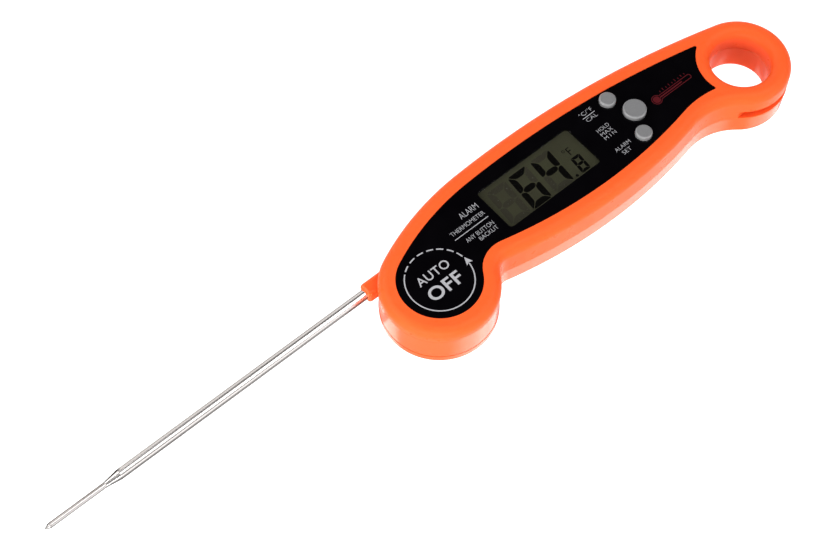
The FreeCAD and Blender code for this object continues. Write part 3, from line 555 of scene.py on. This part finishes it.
def segments(x, y, width, height, thick, gap, slant):
    """The seven segments of a digit, as outlines, in the usual order from a to g."""
    w, h, t, g = width, height, thick, gap
    m = h / 2
    shapes = {
        "a": ((g, h), (w - g, h), (w - t - g, h - t), (t + g, h - t)),
        "d": ((t + g, t), (w - t - g, t), (w - g, 0), (g, 0)),
        "f": ((0, h - g), (t, h - t - g), (t, m + t * 0.45), (t * 0.45, m + g), (0, m + g)),
        "b": ((w, h - g), (w, m + g), (w - t * 0.45, m + g), (w - t, m + t * 0.45), (w - t, h - t - g)),
        "e": ((0, g), (0, m - g), (t * 0.45, m - g), (t, m - t * 0.45), (t, t + g)),
        "c": ((w, g), (w - t, t + g), (w - t, m - t * 0.45), (w - t * 0.45, m - g), (w, m - g)),
        "g": ((t * 0.55 + g, m), (t + g, m + t / 2), (w - t - g, m + t / 2), (w - t * 0.55 - g, m),
              (w - t - g, m - t / 2), (t + g, m - t / 2)),
    }
    return {key: soften([(x + px + slant * py, y + py) for px, py in points], t * 0.42)
            for key, points in shapes.items()}


SIX, FOUR = "acdefg", "bcfg"
LARGE = dict(width=7.45, height=13.5, thick=2.05, gap=0.15, slant=0.085)
SMALL = dict(width=3.5, height=6.1, thick=1.0, gap=0.06, slant=0.085)
SHIFT_X, SHIFT_Y = 0.3, 0.34      # the glass lies under the face
POINT_R = 0.48

on = bmesh.new()
off = bmesh.new()
for x, lit in ((28.7, ""), (37.2, SIX), (46.3, FOUR)):
    for key, points in segments(x + SHIFT_X, -0.15 + SHIFT_Y, **LARGE).items():
        add_polygon(on if key in lit else off, points, ON_Z if key in lit else OFF_Z)
for points in segments(57.2 + SHIFT_X, 0.05 + SHIFT_Y, **SMALL).values():
    add_polygon(on, points, ON_Z)
add_polygon(on, [(55.4 + SHIFT_X + POINT_R * math.cos(k * math.pi / 8),
                  0.5 + SHIFT_Y + POINT_R * math.sin(k * math.pi / 8)) for k in range(16)], ON_Z)
add_text(on, "°F", (57.4 + SHIFT_X, 60.2 + SHIFT_X), (7.2 + SHIFT_Y, 10.1 + SHIFT_Y), ON_Z, -0.005)
new_piece("lcd_segments", on, segment_on, "housing")
new_piece("lcd_segments_off", off, segment_off, "housing")


# ---------------------------------------------------------------- stage and light
FLOOR_GAP = 5e-5    # keeps the floor off the back face


def stage_floor():
    """A white gloss table, dimmer to mirrors than to the camera, so that it doesn't wash out the gloss."""
    s = Shader("pale_floor", (0.08, 0.08, 0.08), 0.16, IOR=2.9, Specular_IOR_Level=1.0)
    s.color(s.blend(s.remap(s.noise(9.0, 3.0), 0.3, 0.7), (0.075, 0.075, 0.075), (0.085, 0.085, 0.085)))
    s.bsdf.inputs["Emission Color"].default_value = (1.0, 1.0, 1.0, 1.0)
    mirrored = s.tree.nodes.new("ShaderNodeLightPath").outputs["Is Glossy Ray"]
    s.link(s.remap(mirrored, 0.0, 1.0, 1.30, 0.45), s.bsdf.inputs["Emission Strength"])
    mesh = bpy.data.meshes.new("floor")
    bm = bmesh.new()
    bmesh.ops.create_grid(bm, x_segments=8, y_segments=8, size=1.6)
    bmesh.ops.translate(bm, verts=bm.verts, vec=(0.0, 0.0, cad_low[2] - FLOOR_GAP))
    bm.to_mesh(mesh)
    bm.free()
    mesh.materials.append(s.material)
    floor = bpy.data.objects.new("floor", mesh)
    scene.collection.objects.link(floor)


stage_floor()

world = bpy.data.worlds.new("studio")
world.use_nodes = True
world.node_tree.nodes["Background"].inputs["Color"].default_value = (1.0, 1.0, 1.0, 1.0)
world.node_tree.nodes["Background"].inputs["Strength"].default_value = 0.02
scene.world = world

TARGET = Vector((0.03, 0.0, 0.01))
RIGHT = Vector((math.cos(yaw), math.sin(yaw), 0.0))
AHEAD = Vector((-math.sin(yaw), math.cos(yaw), 0.0))


def softbox(name, bearing, elevation, distance, size, power):
    """An area light, at a bearing from the object (0 ahead, 90 to the right) and an elevation in degrees."""
    data = bpy.data.lights.new(name, "AREA")
    data.shape = "RECTANGLE"
    data.size, data.size_y = size
    data.energy = power
    light = bpy.data.objects.new(name, data)
    scene.collection.objects.link(light)
    b, e = math.radians(bearing), math.radians(elevation)
    level = math.cos(b) * AHEAD + math.sin(b) * RIGHT
    light.location = TARGET + distance * (math.cos(e) * level + Vector((0, 0, math.sin(e))))
    light.rotation_euler = (TARGET - light.location).to_track_quat("-Z", "Y").to_euler()


softbox("front_low", -165, 15, 0.55, (0.7, 0.15), 4.0)
softbox("left_fill", -112, 34, 0.40, (0.30, 0.16), 0.7)
softbox("left", -66, 50, 2.0, (1.0, 1.4), 17.0)
softbox("right", 90, 52, 2.0, (1.8, 1.40), 27.0)
softbox("right_low", 118, 14, 1.8, (1.8, 0.9), 8.0)
softbox("back", -14, 25, 2.2, (3.6, 1.75), 22.0)
softbox("overhead", 118, 76, 2.0, (1.1, 0.8), 7.5)

scene.view_settings.view_transform = "Standard"
